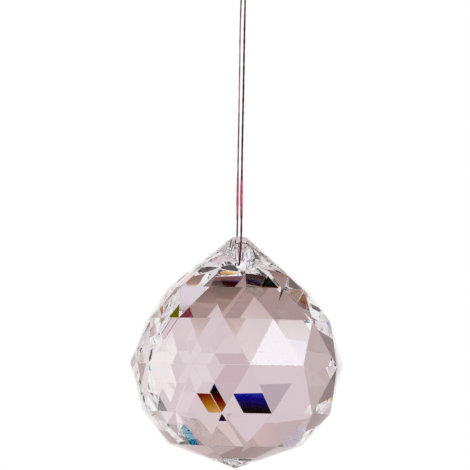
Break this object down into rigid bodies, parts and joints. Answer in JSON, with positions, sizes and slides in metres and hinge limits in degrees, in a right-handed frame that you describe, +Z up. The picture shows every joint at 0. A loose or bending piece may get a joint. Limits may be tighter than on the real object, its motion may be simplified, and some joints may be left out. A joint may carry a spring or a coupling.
{
  "type": "crystal suncatcher",
  "caption": "Faceted clear crystal ball prism with a pierced nub, hung on a doubled thread with a knot and eye, for a window or lamp.",
  "frame": {"origin": "the hanging point: the inside of the thread eye's crown, where a hook bears; the whole object hangs below it", "axes": "+Z up, along the ball's axis and the hanging thread; the hole through the nub runs along Y (turned 3 degrees), and -Y is the front; X is sideways"},
  "size_m": [0.04, 0.04, 0.0987],
  "materials": {
    "crystal": "clear polished lead crystal, faceted, with a fire-polished nub",
    "thread": "twisted dusty rose and maroon thread"
  },
  "bodies": {
    "root": {"crystal_ball": "crystal", "hanging_thread": "thread", "thread_knot": "thread"}
  },
  "joints": []
}
